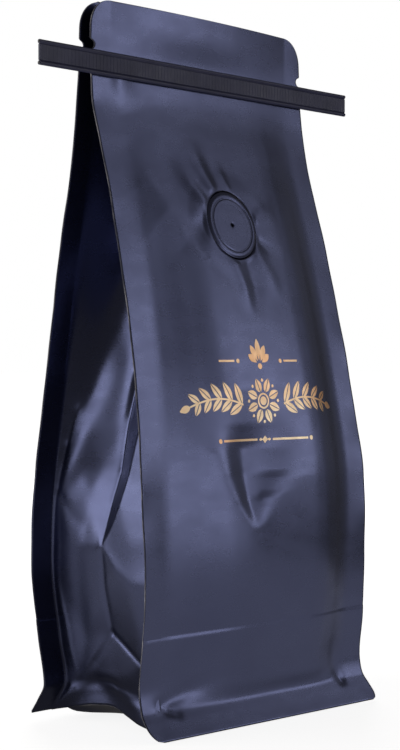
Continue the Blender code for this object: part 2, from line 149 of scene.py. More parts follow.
# Folds in the front panel: line of (x, height), depths inwards there, and half widths to its left and right
FRONT_FOLDS = [
    # the valley over the foot's middle, down to its sharp end
    ([(-10.5, 112), (-9, 100), (-8.5, 92), (-9, 83), (-8.5, 75), (-6.5, 66)],
     (0.0, 1.3, 2.7, 2.7, 1.8, 0.0), (14, 12, 9, 6.5, 4, 2), (18, 18, 18, 14, 8, 3)),
    # tension folds below the valve
    ([(-3, 157), (0.5, 147), (1, 137)], (-0.35, -0.4, 0.0), (3.2, 3.2, 3), (1.8, 1.8, 2)),
    ([(3.5, 156), (5.5, 146), (4.5, 136)], (0.3, 0.35, 0.0), (1.8, 2.0, 2), (3.5, 4, 4)),
    ([(10, 158.5), (15, 150), (17, 142)], (-0.3, -0.3, 0.0), (3, 3.5, 4), (2.5, 3, 3)),
    # tension folds above it, to the left
    ([(-5, 178), (-9, 186), (-13, 197)], (-0.45, -0.55, 0.0), (2.5, 5.0, 6.5), (1.6, 3.0, 4)),
    ([(2.5, 180.5), (0.5, 185), (-1, 190)], (-0.2, -0.2, 0.0), (1.4, 2.0, 2.5), (1.2, 1.8, 2.5)),
    ([(-10.5, 174), (-16, 181), (-21, 190)], (-0.35, -0.35, 0.0), (2.4, 3, 4), (2, 3, 4)),
    ([(-22, 162), (-30, 171), (-36, 180), (-41, 192)], (-0.25, -0.6, -0.5, 0.0), (10, 14, 14, 12),
     (5, 6.5, 7, 7)),
    ([(-12, 168), (-17, 165), (-24, 163)], (0.5, 0.5, 0.0), (3.5, 4, 5), (3.5, 4, 5)),
    ([(12.5, 170), (18, 173), (25, 173)], (-0.35, -0.3, 0.0), (2, 3, 4), (2, 3, 4)),
    ([(12, 163), (17, 160), (24, 158)], (0.35, 0.3, 0.0), (1.8, 2.5, 3.5), (1.8, 2.5, 3.5)),
    # the fold line where the base was once turned up
    ([(-52, 32.4), (-24, 32.9), (0, 33.3), (52, 33.3)], (0.26, 0.26, 0.18, 0.16), (3, 3, 2, 2),
     (0.8, 0.8, 0.8, 0.8)),
    # diagonal creases in from the foot's corners
    ([(-44, 10), (-33, 13), (-15, 17.5)], (0.7, 0.4, 0.0), (2.5, 3.5, 5), (1.8, 2.5, 4)),
    ([(-42, 8.2), (-38.5, 7.0)], (0.45, 0.3), (1.2, 1.5), (1.2, 1.5)),
    ([(41.5, 7.5), (38, 14), (36, 24)], (0.6, 0.3, 0.0), (1.4, 2.5, 3.5), (1.4, 2.5, 3.5)),
    # the soft bulge under the tin tie's left end
    ([(-42, 213), (-39, 203)], (-0.55, 0.0), (3.5, 5), (6, 7)),
]

# Folds in the back panel, in the same way, with x as seen from the front
BACK_FOLDS = [
    ([(14, 185), (9, 160), (6, 130), (10, 100), (14, 80)], (0.0, 1.0, 1.6, 1.2, 0.0), (10, 14, 15, 12, 6),
     (8, 12, 14, 12, 6)),
    ([(-32, 170), (-30, 140), (-34, 110)], (0.0, -0.9, 0.0), (9, 11, 9), (9, 11, 9)),
    ([(-14, 76), (-4, 62), (2, 50)], (0.0, 0.8, 0.0), (2.5, 3.5, 3), (4, 6, 5)),
    ([(-52, 33), (0, 32.6), (52, 33)], (0.35, 0.3, 0.35), (3, 2.5, 3), (0.8, 0.8, 0.8)),
    ([(40, 10), (30, 15), (14, 20)], (1.1, 0.8, 0.0), (2.5, 3.5, 5), (1.8, 2.5, 4)),
    ([(-41, 9), (-36, 18), (-33, 28)], (0.9, 0.6, 0.0), (1.6, 2.5, 3.5), (1.6, 2.5, 3.5)),
    ([(35, 204), (20, 198), (5, 200)], (0.0, 0.4, 0.0), (3, 4, 3), (3, 5, 3)),
]

# Turned section of the film over the valve, as (radius, height over the valve's plane)
VALVE_HOLE = 0.55            # radius of the vent
VALVE_EDGE = VALVE_RADIUS + 0.25
VALVE_SECTION = [(VALVE_HOLE, -0.5), (0.62, 0.45), (0.95, 0.66), (1.7, 0.74), (7.2, 0.76), (7.5, 0.73),
                 (7.8, 0.76), (9.1, 0.76), (9.35, 0.58), (9.55, 0.52), (9.75, 0.58), (10.0, 0.76),
                 (10.4, 0.80), (10.9, 0.72), (11.4, 0.42), (VALVE_RADIUS, 0.16), (VALVE_EDGE, 0.0)]
VALVE_RELIEF = 0.60          # how far the film has shrunk onto that section
VALVE_BLEND = 9.0            # over which the film runs from the valve's plane back to the crowned panel
FOLD_FADE = 2.5              # over which the folds fade in from the valve's edge
VALVE_PATCH = 15.75          # half side of the square of panel that is meshed round the valve
VALVE_RINGS = 9              # rings of the mesh between that square and the valve's edge
VALVE_ROWS = [(VALVE_HOLE, 2.2, 0.12), (2.2, 7.0, 0.8), (7.0, VALVE_EDGE, 0.13)]
SHEET_GAP = 0.02             # hair of air between layers that are sealed together
RIPPLE = 0.12                # height of the waves along the fins
RIPPLE_LONG = 7.3            # their two lengths, each over 2 pi
RIPPLE_SHORT = 3.1

# Rows of each sheet up to the upper corners, as stretches of (from, to, step)
HALF_WIDTH_MIDDLE = 53.9     # half width over the fins at the valve
PATCH_LOW = VALVE_HEIGHT - VALVE_PATCH
PATCH_HIGH = VALVE_HEIGHT + VALVE_PATCH
ROWS_END = HEIGHT - TOP_CORNER
PANEL_HALF = HALF_WIDTH_MIDDLE - FIN
FRONT_ROWS = [(0, 12, 0.6), (12, 29, 1.0), (29, 35, 0.4), (35, 100, 1.1), (100, PATCH_LOW, 1.1),
              (PATCH_LOW, PATCH_HIGH, 0.75), (PATCH_HIGH, 215, 1.0), (215, ROWS_END, 0.45)]
BACK_ROWS = [(0, 12, 0.8), (12, 29, 1.2), (29, 35, 0.5), (35, 215, 1.4), (215, ROWS_END, 0.5)]
GUSSET_ROWS = [(0, 12, 0.6), (12, 90, 0.55), (90, 130, 0.9), (130, 215, 1.6), (215, ROWS_END, 0.45)]

# ---------------- the gussets' creases
# Creases that stay crisp where the folds are softened, as lines of (share, height), and how crisp they are
CREASE_LINES = [
    ([(0.455, 116), (0.485, 100), (0.52, 84), (0.545, 72), (0.555, 59)], 1.0),
    ([(0.27, 100), (0.36, 84), (0.41, 74), (0.485, 65), (0.555, 59)], 0.8),
    ([(0.555, 59), (0.54, 45), (0.50, 30.5)], 0.4),
    ([(0.50, 30.5), (0.17, 21.5)], 1.0),
    ([(0.50, 30.5), (0.90, 8.5)], 0.5),
    ([(0.965, 92), (0.972, 84), (0.985, 75)], 1.0),
    ([(0.93, 104), (0.965, 92)], 0.4),
    ([(1.0, 0), (1.0, 88)], 1.0),
    ([(0.0, 0), (0.0, 110)], 1.0),
]
# Fine creases, drawn over (share * width, height) like the panels' folds
GUSSET_CREASES = [
    # the flap's two edges
    ([(25, 30.5), (16, 25.5), (8.5, 21.5)], (0.25, 0.36, 0.25), (1.0, 1.1, 1.0), (0.7, 0.7, 0.7)),
    ([(25, 30.5), (35, 19.5), (45, 8.5)], (0.10, 0.34, 0.2), (1.1, 1.6, 1.6), (1.1, 1.3, 1.3)),
    # the line from the dent down to the apex
    ([(27.7, 59), (27, 45), (25, 30.5)], (0.15, 0.22, 0.1), (1.3, 1.5, 1.3), (1.1, 1.3, 1.1)),
    # the crumpled line beside the back fin
    ([(49, 76), (47.8, 58), (48.2, 44), (46.6, 30), (45.2, 12)], (-0.3, -0.35, -0.35, -0.3, 0),
     (1, 1, 1, 1, 1), (1.2, 1.4, 1.2, 1.4, 1)),
    # short creases that run out from the pinch and from the dent
    ([(49, 77), (42, 68), (37, 64)], (0.3, 0.2, 0.0), (1.2, 2, 3), (1.2, 2, 3)),
    ([(27.7, 59), (21, 52.5), (13.5, 48)], (-0.1, -0.12, 0.0), (1.5, 2, 2), (1.5, 2, 2)),
    ([(36, 9), (26, 7.5), (12, 10)], (0.0, -0.35, 0.0), (1.6, 1.8, 1.6), (1.6, 1.8, 1.6)),
]
CREASE_KEEP = 2.0            # how far from those lines the folds stay crisp, in millimetres
GUSSET_SOFTNESS = 1.6        # blur of the folds elsewhere, in millimetres
GUSSET_SOFTNESS_HIGH = 3.6   # and above the waist
SOFT_FROM = 90.0
SOFT_TO = 112.0
GUSSET_WIDTH = 50.0          # nominal distance between the seams, which turns shares into millimetres
GUSSET_FINE = 121            # points across the field that the gusset's depth is smoothed on
GUSSET_TALL = 481            # and up it
FACET_SCALE = 100.0          # height that counts as one share where the facets are laid out

# ---------------- base, tie and ornament
BASE_BOND = 0.94             # share of the base panel's reach past which it is bonded to the skirts
BASE_FADE = 0.6              # share from which it follows the lifted rim
BASE_REACHES = [1.0, 0.99, 0.98, 0.97, 0.96, 0.95, 0.94, 0.925, 0.91, 0.88, 0.85, 0.82, 0.78, 0.73, 0.66,
                0.5, 0.3, 0.12, 0.0]
BASE_RISE = [(0, 0), (0.66, 0), (0.82, 0.8), (0.90, 3.0), (0.94, BASE_ROOT_HEIGHT), (1.0, BASE_ROOT_HEIGHT)]
RIB_PITCH = 1.6
RIB_HEIGHT = 0.16
TAPE_HALF = 38.0             # half the tape's length, and half its width
TAPE_RISE = 2.1
TAPE_BITE = 0.03             # how far the tape reaches into what it joins
FOIL_LIFT = 0.05             # how far the foil lies over the film
ORNAMENT_X = 1.0             # the ornament's middle
ROSETTE_HEIGHT = 107.5
SPRAY_START = 9.8
SPRAY_REACH = 33.0
SPRAY_LEAVES = 5
CREST_HEIGHT = 119.5
RULE_HEIGHT = 94.5
RULE_HALF = 20.0

# ---------------- colours and stage
FILM_COLOUR = (0.110, 0.123, 0.228)
FILM_DEEP = (0.100, 0.111, 0.208)
FILM_METAL = 0.9
FILM_GLOSS = (0.25, 0.31)
FOIL_PALE = (1.0, 0.80, 0.55)
FOIL_COPPER = (1.0, 0.56, 0.30)
CAMERA_PLACE = (-0.4230, -0.4369, 0.1233)    # metres
CAMERA_HEADING = 0.764       # radians from +Y towards +X
CAMERA_DIP = 0.012           # radians below level
CAMERA_LENS = 83.97
CAMERA_SENSOR = 36.0
LIGHT_AIM = (0, 0, 0.12)     # what every softbox looks at, in metres
FLOOR_HALF = 8.0
FLOOR_DROP = 0.0004
WORLD_LIGHT = 0.075


def ease(t):
    """Smooth step from 0 to 1."""
    t = np.clip(t, 0.0, 1.0)
    return t * t * (3 - 2 * t)


def curve(points, at):
    """Read a smooth curve through (place, value) points, with no overshoot between them."""
    knots, values = np.array(points, float).T
    steps = np.diff(knots)
    slopes = np.diff(values) / steps
    tangents = np.zeros(len(values))
    tangents[0] = slopes[0]
    tangents[-1] = slopes[-1]
    for i in range(1, len(values) - 1):
        if slopes[i - 1] * slopes[i] > 0:
            before = 2 * steps[i] + steps[i - 1]
            after = steps[i] + 2 * steps[i - 1]
            tangents[i] = (before + after) / (before / slopes[i - 1] + after / slopes[i])
    at = np.asarray(at, float)
    i = np.clip(np.searchsorted(knots, at, side="right") - 1, 0, len(steps) - 1)
    t = np.clip((at - knots[i]) / steps[i], 0.0, 1.0)
    return ((2 * t**3 - 3 * t**2 + 1) * values[i] + (t**3 - 2 * t**2 + t) * steps[i] * tangents[i]
            + (3 * t**2 - 2 * t**3) * values[i + 1] + (t**3 - t**2) * steps[i] * tangents[i + 1])


def place(x, y, z):
    """Carry points of the straight bag to their places on the twisted one, in metres."""
    x, y, z = np.broadcast_arrays(x, y, z)
    share = ease(z / HEIGHT)
    angle = TWIST * share
    across = x * np.cos(angle) - y * np.sin(angle) + TOP_SHIFT * share
    along = x * np.sin(angle) + y * np.cos(angle)
    return np.stack((across, along, z), -1) * MM


def spaced(*stretches):
    """Evenly spaced values along (start, end, step) stretches that follow one another."""
    values = [stretches[0][0]]
    for start, end, step in stretches:
        count = max(1, round(abs(end - start) / step))
        values += list(np.linspace(start, end, count + 1)[1:])
    return np.array(values)


def near_line(x, height, line):
    """Distance of each place to a line of points, negative on its left, and how far along it that is."""
    best = np.full(np.shape(x), np.inf)
    sign = np.ones(np.shape(x))
    along = np.zeros(np.shape(x))
    for step, ((x0, h0), (x1, h1)) in enumerate(zip(line, line[1:])):
        run, rise = x1 - x0, h1 - h0
        t = np.clip(((x - x0) * run + (height - h0) * rise) / (run**2 + rise**2), 0, 1)
        distance = np.hypot(x - x0 - t * run, height - h0 - t * rise)
        nearer = distance < best
        best = np.where(nearer, distance, best)
        side = run * (height - h0) - rise * (x - x0)
        sign = np.where(nearer, np.where(side > 0, -1.0, 1.0), sign)
        along = np.where(nearer, step + t, along)
    return best * sign, along


def folded(x, height, folds):
    """How far a list of folds presses a sheet in. Left and right are those of the line drawn upwards."""
    total = np.zeros(np.shape(x))
    for line, depths, lefts, rights in folds:
        order = 1 if line[-1][1] >= line[0][1] else -1
        distance, along = near_line(x, height, line[::order])
        at = np.arange(len(line))
        depth = np.interp(along, at, depths[::order])
        left = np.interp(along, at, lefts[::order])
        right = np.interp(along, at, rights[::order])
        width = np.where(distance < 0, left, right)
        total += depth * np.exp(-(distance / width) ** 2)
    return total


# ---------------- outline of the bag
def round_off(height, end, across, up):
    """How far a rounded corner at a panel's end takes its edge in."""
    into_corner = np.clip(1 - np.abs(end - height) / up, 0.0, 1.0)
    return across * (1 - np.sqrt(np.clip(1 - into_corner**2, 0.0, 1.0)))


def fin_tip(height, corner):
    """Half width out to one fin's edge, with its rounded corners and tear notch."""
    tip = curve(HALF_WIDTH, height) - round_off(height, HEIGHT, TOP_CORNER, TOP_CORNER)
    tip = tip - round_off(height, 0.0, *FOOT_CORNERS[corner])
    from_notch = np.clip(np.abs(height - NOTCH_HEIGHT) / NOTCH_HALF, 0, 1)
    return tip - NOTCH_DEPTH * np.sqrt(1 - from_notch**2) * (from_notch < 1)


def seam_x(height):
    """X of the right seam, where the fin begins. It runs inside the rounded corner at the top."""
    half_width = curve(HALF_WIDTH, height)
    inside_corner = half_width - round_off(height, HEIGHT, TOP_CORNER, TOP_CORNER) - SEAM_TO_CORNER
    return np.minimum(half_width - FIN, inside_corner)


def crown(x, height, profile):
    """How far a panel swells out past its fins, with the panel's own profile across."""
    share = np.clip(x / seam_x(height), -1, 1)
    return curve(SWELL, height) * curve(profile, share)


def lip(x, height, closing):
    """How far a lip of the mouth comes in."""
    share = np.clip(np.abs(x) / seam_x(height), 0, 1)
    return closing * (1 - share**2) * ease((height - LIP_FROM) / (LIP_TO - LIP_FROM))


def edge_ripple(x, height):
    """Slight waves along the fins, where sealing has puckered the film."""
    out = np.clip((np.abs(x) - seam_x(height)) / FIN, 0, 1)
    waves = np.sin(height / RIPPLE_LONG + np.sign(x)) + 0.6 * np.sin(height / RIPPLE_SHORT + 2 * np.sign(x))
    return RIPPLE * out**2 * waves


def front_plain(x, height):
    """Y of the front panel's outer face, without its folds and the valve."""
    return curve(FRONT_Y, height) - crown(x, height, FRONT_CROWN)


def front_folds(x, height):
    """How far the lip, the folds and the ripples press the front panel in."""
    bare = front_plain(x, height) + lip(x, height, FRONT_LIP)
    return bare + folded(x, height, FRONT_FOLDS) + edge_ripple(x, height) - front_plain(x, height)


def valve_slope():
    """How far the panel falls back for each millimetre of height at the valve's middle."""
    low, high = VALVE_HEIGHT - 5, VALVE_HEIGHT + 5
    return (front_plain(VALVE_X, high) - front_plain(VALVE_X, low)) / (high - low)


def valve_plane(height):
    """Y of the plane that the valve lies in."""
    return front_plain(VALVE_X, VALVE_HEIGHT) + valve_slope() * (height - VALVE_HEIGHT)


def front_surface(x, height):
    """Y of the front panel's outer face, flattened round the valve."""
    radius = np.hypot(x - VALVE_X, (height - VALVE_HEIGHT) * np.hypot(1, valve_slope()))
    share = ease((radius - VALVE_EDGE) / VALVE_BLEND)
    smooth = valve_plane(height) * (1 - share) + front_plain(x, height) * share
    return smooth + front_folds(x, height) * ease((radius - VALVE_EDGE) / FOLD_FADE)


def back_surface(x, height):
    """Y of the back panel's outer face."""
    y = curve(BACK_Y, height) + crown(x, height, BACK_CROWN) - lip(x, height, BACK_LIP)
    return y - folded(x, height, BACK_FOLDS) + edge_ripple(x, height)


def side_rise(share, height):
    """How far the side is lifted off the ground."""
    lift = curve(SIDE_LIFT, share) + BACK_LIFT * share
    return lift * (1 - ease(height / LIFT_FADE))


# ---------------- meshes
def quads_of(index):
    """The quads of a grid of point numbers."""
    return np.stack((index[:-1, :-1], index[:-1, 1:], index[1:, 1:], index[1:, :-1]), -1)


def mesh_from_grid(name, points):
    """A sheet of quads over a (rows, columns, 3) grid of points."""
    index = np.arange(points.shape[0] * points.shape[1]).reshape(points.shape[:2])
    return mesh_from_arrays(name, points.reshape(-1, 3), quads_of(index).reshape(-1, 4))


def mesh_from_arrays(name, points, faces):
    """A smooth mesh without the points that no face uses."""
    used, inverse = np.unique(faces, return_inverse=True)
    mesh = bpy.data.meshes.new(name)
    mesh.from_pydata(points[used].tolist(), [], inverse.reshape(faces.shape).tolist())
    mesh.shade_smooth()
    return mesh


def add_piece(name, mesh, materials, thickness=FILM):
    """Make an object of a mesh, give a sheet its thickness and cut edges, and let it ride on the bag."""
    obj = bpy.data.objects.new(name, mesh)
    bpy.context.scene.collection.objects.link(obj)
    for material in materials:
        mesh.materials.append(material)
    if thickness:
        solid = obj.modifiers.new("Film", "SOLIDIFY")
        solid.thickness = thickness * MM
        solid.offset = -1.0
        solid.material_offset_rim = len(materials) - 1
    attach(obj, "root")
    return obj


def rows(stretches):
    """Heights of a sheet's rows as a column. The last ones follow the round of the upper corners."""
    turn = np.linspace(0, pi / 2, 13)
    corner = HEIGHT - TOP_CORNER * (1 - np.sin(turn))
    return np.concatenate((spaced(*stretches)[:-1], corner))[:, None]


def panel_grid(heights, inner_xs, corners):
    """X of each point of a panel: the inner columns between the seams, and the fins out to their tips."""
    seam = seam_x(heights)
    fin_shares = np.array([0.12, 0.26, 0.42, 0.58, 0.72, 0.84, 0.93, 1.0])
    left, right = (seam + (fin_tip(heights, corner) - seam) * fin_shares for corner in corners)
    return np.concatenate((-left[:, ::-1], inner_xs * (seam / inner_xs[-1]), right), 1)


def make_front(materials):
    """The front panel, with a round opening for the valve. Returns the bearings of the opening's points."""
    heights = rows(FRONT_ROWS)
    patch_left, patch_right = VALVE_X - VALVE_PATCH, VALVE_X + VALVE_PATCH
    patch_columns = (patch_left, patch_right, 0.75)
    columns = spaced((-PANEL_HALF, patch_left, 1.0), patch_columns, (patch_right, PANEL_HALF, 1.0))
    xs = panel_grid(heights, columns, ("front_left", "front_right"))
    hs = np.repeat(heights, xs.shape[1], 1)
    middle_x = (xs[:-1, :-1] + xs[1:, 1:]) / 2 - VALVE_X
    middle_h = (hs[:-1, :-1] + hs[1:, 1:]) / 2 - VALVE_HEIGHT
    patch = (np.abs(middle_x) < VALVE_PATCH) & (np.abs(middle_h) < VALVE_PATCH)
    (r0, *_, r1), (c0, *_, c1) = np.flatnonzero(patch.any(1)), np.flatnonzero(patch.any(0))
    index = np.arange(xs.size).reshape(xs.shape)
    square = index[r0:r1 + 2, c0:c1 + 2]
    border = np.concatenate((square[0, :-1], square[:-1, -1], square[-1, :0:-1], square[:0:-1, 0]))

    # From the square border in to the valve's round edge
    border_x = xs.ravel()[border] - VALVE_X
    border_h = hs.ravel()[border] - VALVE_HEIGHT
    around = np.arctan2(border_h, border_x)
    flat_x, flat_h, faces = [xs.ravel()], [hs.ravel()], [quads_of(index)[~patch]]
    previous = border
    for step in range(VALVE_RINGS):
        share = ((step + 1) / VALVE_RINGS) ** 0.8
        flat_x.append(border_x * (1 - share) + VALVE_EDGE * np.cos(around) * share + VALVE_X)
        flat_h.append(border_h * (1 - share) + VALVE_EDGE * np.sin(around) * share + VALVE_HEIGHT)
        current = xs.size + step * len(border) + np.arange(len(border))
        faces.append(np.stack((previous, np.roll(previous, -1), np.roll(current, -1), current), -1))
        previous = current
    flat_x, flat_h = np.concatenate(flat_x), np.concatenate(flat_h)
    points = place(flat_x, front_surface(flat_x, flat_h), flat_h)
    mesh = mesh_from_arrays("front_panel", points, np.concatenate(faces))
    panel = add_piece("front_panel", mesh, materials)
    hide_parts("bag")
    return around


def make_valve(around, materials):
    """The film over the valve: a plate in a groove, a flange round it, and the vent's hole."""
    radius = spaced(*VALVE_ROWS)[:, None]
    turn = np.append(around, around[0])[None, :]
    x = VALVE_X + radius * np.cos(turn)
    h = VALVE_HEIGHT + radius * np.sin(turn) / np.hypot(1, valve_slope())
    y = valve_plane(h) - curve(VALVE_SECTION, radius) * VALVE_RELIEF
    mesh = mesh_from_grid("valve_film", place(x, y, h)[::-1])
    weld(mesh)
    valve = add_piece("valve_film", mesh, materials)
    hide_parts("valve")


def weld(mesh):
    """Join the points that meet where a grid closes on itself."""
    bm = bmesh.new()
    bm.from_mesh(mesh)
    bmesh.ops.remove_doubles(bm, verts=bm.verts, dist=1e-6)
    bm.to_mesh(mesh)
    bm.free()


def close_ends(mesh):
    """Close a tube's two ends, and keep its corners sharp."""
    bm = bmesh.new()
    bm.from_mesh(mesh)
    edges = [edge for edge in bm.edges if edge.is_boundary]
    bmesh.ops.holes_fill(bm, edges=edges, sides=0)
    bmesh.ops.recalc_face_normals(bm, faces=bm.faces)
    bm.to_mesh(mesh)
    bm.free()
    mesh.set_sharp_from_angle(angle=radians(40))


def make_back(materials):
    """The back panel, whose skirt stands off the ground."""
    heights = rows(BACK_ROWS)
    columns = spaced((-PANEL_HALF, PANEL_HALF, 1.3))
    xs = panel_grid(heights, columns, ("back_left", "back_right"))[:, ::-1]
    points = place(xs, back_surface(xs, heights), heights + side_rise(1.0, heights))
    mesh = mesh_from_grid("back_panel", points)
    add_piece("back_panel", mesh, materials)


# ---------------- gussets
def gusset_triangles():
    """The flat facets between the folds, as triangles of (share, height, depth)."""
    names = list(GUSSET_FOLDS)
    points = list(GUSSET_FOLDS.values())
    for height in SEAM_HEIGHTS:
        points += [(0.0, height, 0.0), (1.0, height, 0.0)]
    flat = [Vector((share, height / FACET_SCALE)) for share, height, _ in points]
    edges = [(names.index(a), names.index(b)) for chain in GUSSET_CHAINS for a, b in zip(chain, chain[1:])]
    vertices, _, faces, origins, _, _ = delaunay_2d_cdt(flat, edges, [], 0, 1e-6)
    depths = [points[origin[0]][2] for origin in origins]
    return [[(vertices[i].x, vertices[i].y * FACET_SCALE, depths[i]) for i in face] for face in faces]


def blurred(field, sigma, axis):
    """Gaussian blur along one axis, with the field carried on past its ends."""
    reach = int(3 * sigma) + 1
    weights = np.exp(-0.5 * (np.arange(-reach, reach + 1) / sigma) ** 2)
    weights /= weights.sum()
    first = np.take(field, [0], axis)
    last = np.take(field, [-1], axis)
    before = 2 * first - np.take(field, range(reach, 0, -1), axis)
    after = 2 * last - np.take(field, range(-2, -reach - 2, -1), axis)
    padded = np.concatenate((before, field, after), axis)
    return np.apply_along_axis(lambda line: np.convolve(line, weights, "valid"), axis, padded)


def gusset_field():
    """The gusset's depth on a fine grid: its flat facets, softened away from the crisp creases."""
    shares = np.linspace(0, 1, GUSSET_FINE)
    heights = np.linspace(0, HEIGHT, GUSSET_TALL)
    share, height = np.meshgrid(shares, heights)
    depth = np.zeros(share.shape)
    for (s0, h0, d0), (s1, h1, d1), (s2, h2, d2) in gusset_triangles():
        area = (s1 - s0) * (h2 - h0) - (s2 - s0) * (h1 - h0)
        if abs(area) < 1e-9:
            continue
        b = ((share - s0) * (h2 - h0) - (s2 - s0) * (height - h0)) / area
        c = ((s1 - s0) * (height - h0) - (share - s0) * (h1 - h0)) / area
        inside = (b >= -1e-6) & (c >= -1e-6) & (b + c <= 1 + 1e-6)
        depth[inside] = (d0 + b * (d1 - d0) + c * (d2 - d0))[inside]
    step_across = GUSSET_WIDTH / (GUSSET_FINE - 1)
    step_up = HEIGHT / (GUSSET_TALL - 1)
    low, high = (blurred(blurred(depth, softness / step_across, 1), softness / step_up, 0)
                 for softness in (GUSSET_SOFTNESS, GUSSET_SOFTNESS_HIGH))
    upward = ease((height - SOFT_FROM) / (SOFT_TO - SOFT_FROM))
    soft = low * (1 - upward) + high * upward
    crisp = np.zeros(share.shape)
    for line, sharpness in CREASE_LINES:
        scaled = [(s * GUSSET_WIDTH, h) for s, h in line]
        distance, _ = near_line(share * GUSSET_WIDTH, height, scaled)
        crisp = np.maximum(crisp, sharpness * np.exp(-(distance / CREASE_KEEP) ** 2))
    fine = folded(share * GUSSET_WIDTH, height, GUSSET_CREASES)
    return soft * (1 - crisp) + depth * crisp + fine * np.sin(pi * share) ** 0.3


def gusset_depth(field, share, height):
    """Read the smoothed depth at any place, between the points of its grid."""
    across = np.clip(share, 0, 1) * (GUSSET_FINE - 1)
    up = np.clip(height / HEIGHT, 0, 1) * (GUSSET_TALL - 1)
    i = np.minimum(up.astype(int), GUSSET_TALL - 2)
    j = np.minimum(across.astype(int), GUSSET_FINE - 2)
    v, u = up - i, across - j
    return ((field[i, j] * (1 - u) + field[i, j + 1] * u) * (1 - v)
            + (field[i + 1, j] * (1 - u) + field[i + 1, j + 1] * u) * v)


def make_gusset(side, name, corners, field, materials):
    """One side: the front fin's inner layer, the folded gusset, and the back fin's inner layer."""
    heights = rows(GUSSET_ROWS)
    seam = seam_x(heights)
    # The fins' inner layers lie behind the panels' own, and a hair away from them
    front = curve(FRONT_Y, heights) + 2 * FILM + SHEET_GAP
    back = curve(BACK_Y, heights) - 2 * FILM - SHEET_GAP
    fillet = np.minimum(SEAM_FILLET, 0.25 * (back - front))
    fin_shares = np.array([1.0, 0.9, 0.7, 0.45, 0.2, 0.0])
    turn_steps = np.linspace(0, 1, 7)[1:-1]

    def flap(corner, y_edge, shares):
        """X and Y of a fin's inner layer."""
        out = seam + fillet
        x = out + (fin_tip(heights, corner) - out) * shares
        return x, y_edge + edge_ripple(x * side, heights)

    def turned(start, corner, end):
        """The rounded turn at a seam, between the flap and the gusset."""
        t = turn_steps
        return (1 - t) ** 2 * start[:, -1:] + 2 * t * (1 - t) * corner + t**2 * end[:, :1]

    edge_share = fillet / (back - front)
    share = edge_share + (1 - 2 * edge_share) * np.linspace(0, 1, 92)
    inner = (seam - gusset_depth(field, share, heights), front + (back - front) * share)
    front_flap = flap(corners[0], front, fin_shares)
    back_flap = flap(corners[1], back, fin_shares[::-1])
    strips = zip(front_flap, (seam, front), inner, (seam, back), back_flap)
    xs, ys = (np.concatenate((a, turned(a, b, c), c, turned(c, d, e), e), 1) for a, b, c, d, e in strips)
    share = np.clip((ys - front) / (back - front), 0, 1)
    points = place(side * xs, ys, heights + side_rise(share, heights))
    mesh = mesh_from_grid(name, points if side > 0 else points[:, ::-1])
    add_piece(name, mesh, materials)


# ---------------- base
def make_base(field, materials):
    """The base panel: bonded inside the skirts, level with the gussets' rims, and sagging to a flat."""
    front = float(curve(FRONT_Y, 0)) + FILM
    back = float(curve(BACK_Y, 0)) - FILM
    seam = float(seam_x(0))
    across = np.linspace(-seam, seam, 61)
    along = np.linspace(0, 1, 33)
    inset = gusset_depth(field, along, np.zeros(along.shape))
    side = [(seam - d, front + (back - front) * s, float(side_rise(s, 0)))
            for s, d in zip(along[1:-1], inset[1:-1])]
    rim = [(x, front, 0.0) for x in across] + side
    rim += [(x, back, BACK_LIFT) for x in across[::-1]] + [(-x, y, z) for x, y, z in side[::-1]]
    rim = np.array(rim + rim[:1])
    at_skirt = np.minimum(1.0, (np.abs(rim[:, 1]) / BASE_HALF_DEPTH) ** 6)
    sheet = []
    for reach in BASE_REACHES:
        bonded = ease((reach - BASE_BOND) / (1 - BASE_BOND))
        z = at_skirt * (curve(BASE_RISE, reach) * (1 - bonded) + rim[:, 2] * bonded)
        z = z + (1 - at_skirt) * rim[:, 2] * ease((reach - BASE_FADE) / (1 - BASE_FADE))
        # The skirts lie against the panels' inner faces
        front_limit = curve(FRONT_Y, z) + 2 * (FILM + SHEET_GAP)
        back_limit = curve(BACK_Y, z - BACK_LIFT) - 2 * (FILM + SHEET_GAP)
        inward = 1 - (1 - reach) * (1 - at_skirt) if reach > BASE_BOND else reach / BASE_BOND
        y = np.clip(rim[:, 1] * inward, front_limit, back_limit)
        sheet.append(place(rim[:, 0] * reach, y, z))
    mesh = mesh_from_grid("base_panel", np.array(sheet)[::-1, ::-1])
    weld(mesh)
    add_piece("base_panel", mesh, materials)


# ---------------- tin tie
def tie_place(x, y, z):
    """Place points of the tie: x along it, y behind its middle plane, z above its middle line."""
    share = float(ease(TIE_HEIGHT / HEIGHT))
    angle = TWIST * share
    y = y + float(curve(FRONT_Y, TIE_HEIGHT)) - TIE_STAND
    x, y, z = np.broadcast_arrays(x + TIE_SHIFT, y, z)
    across = x * cos(angle) - y * sin(angle) + TOP_SHIFT * share
    along = x * sin(angle) + y * cos(angle)
    return np.stack((across, along, z + TIE_HEIGHT), -1) * MM


